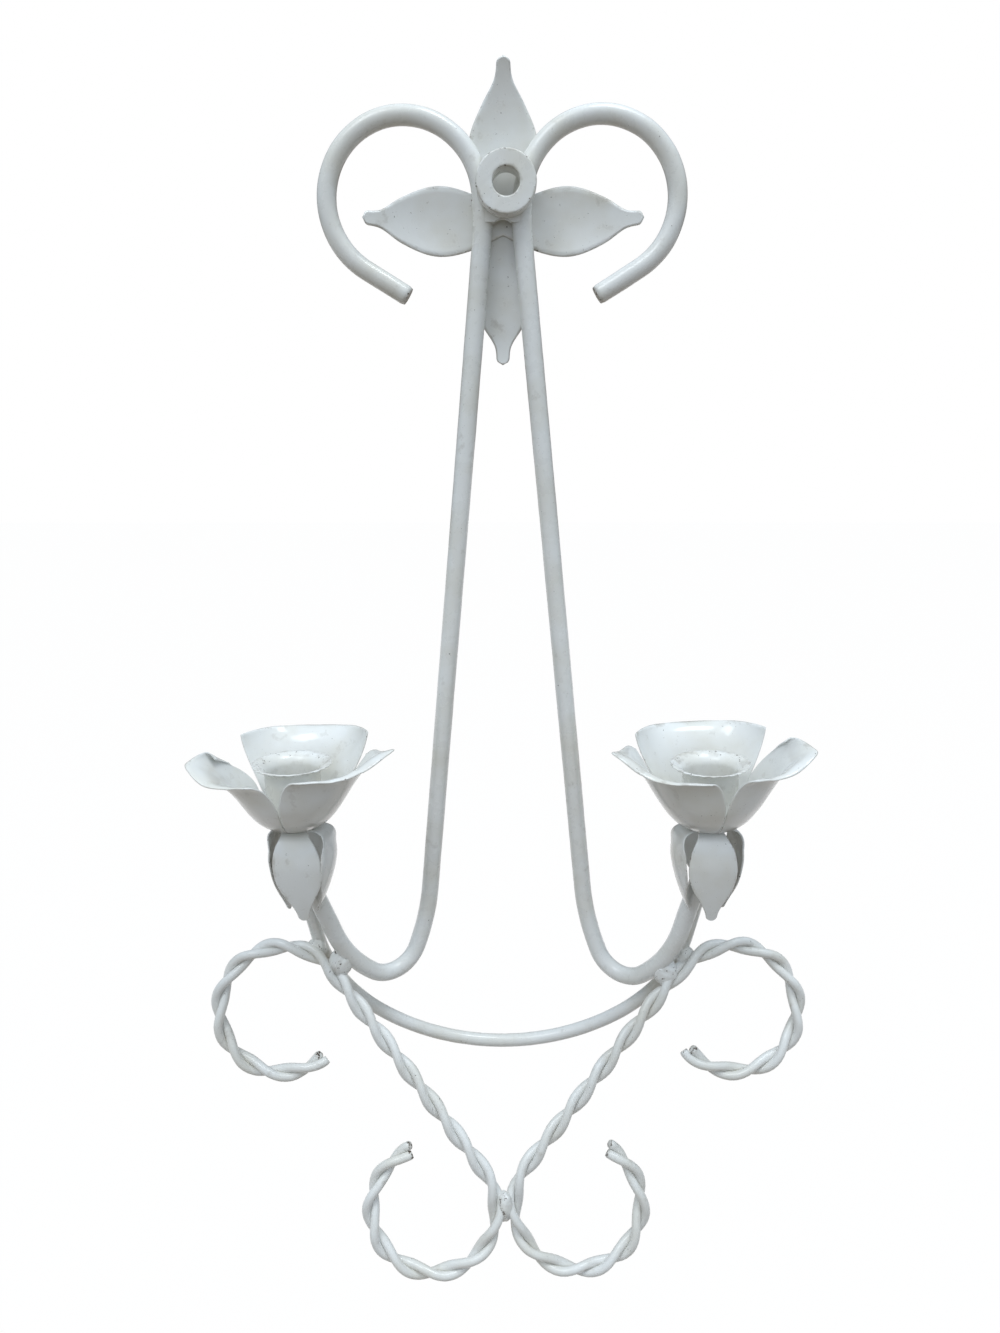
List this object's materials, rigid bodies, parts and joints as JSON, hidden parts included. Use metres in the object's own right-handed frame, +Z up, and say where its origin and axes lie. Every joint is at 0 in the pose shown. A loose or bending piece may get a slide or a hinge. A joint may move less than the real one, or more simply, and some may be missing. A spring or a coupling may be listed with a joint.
{
  "type": "double candle wall sconce",
  "caption": "Wrought wall sconce: scrolled rods hang from a bush, hook forward and carry candle cups shaped as flowers, with twisted scrolls below.",
  "frame": {"origin": "on the wall plane, midway between the necks of the two rods, level with the hanger bush", "axes": "+X to the viewer's right, -Y out of the wall towards the viewer, +Z up"},
  "size_m": [0.2725, 0.0781, 0.5208],
  "materials": {
    "aged_white_paint": "brushed off-white paint, worn through to brown at edges and welds",
    "plain_steel": "plain dull steel"
  },
  "bodies": {
    "root": {"bow_rod": "aged_white_paint", "bush_weld": "aged_white_paint", "centre_weld": "aged_white_paint", "hanger_bush": "aged_white_paint", "left_arm_weld": "aged_white_paint", "left_bow_end_weld": "aged_white_paint", "left_bow_weld": "aged_white_paint", "left_calyx_front_leaves": "aged_white_paint", "left_calyx_side_leaves": "aged_white_paint", "left_candle_socket": "aged_white_paint", "left_cup_screw": "plain_steel", "left_flower": "aged_white_paint", "left_main_rod": "aged_white_paint", "left_twisted_strand_a": "aged_white_paint", "left_twisted_strand_b": "aged_white_paint", "level_leaf_strip": "aged_white_paint", "right_arm_weld": "aged_white_paint", "right_bow_end_weld": "aged_white_paint", "right_bow_weld": "aged_white_paint", "right_calyx_front_leaves": "aged_white_paint", "right_calyx_side_leaves": "aged_white_paint", "right_candle_socket": "aged_white_paint", "right_cup_screw": "plain_steel", "right_flower": "aged_white_paint", "right_main_rod": "aged_white_paint", "right_twisted_strand_a": "aged_white_paint", "right_twisted_strand_b": "aged_white_paint", "upright_leaf_strip": "aged_white_paint"}
  },
  "joints": []
}
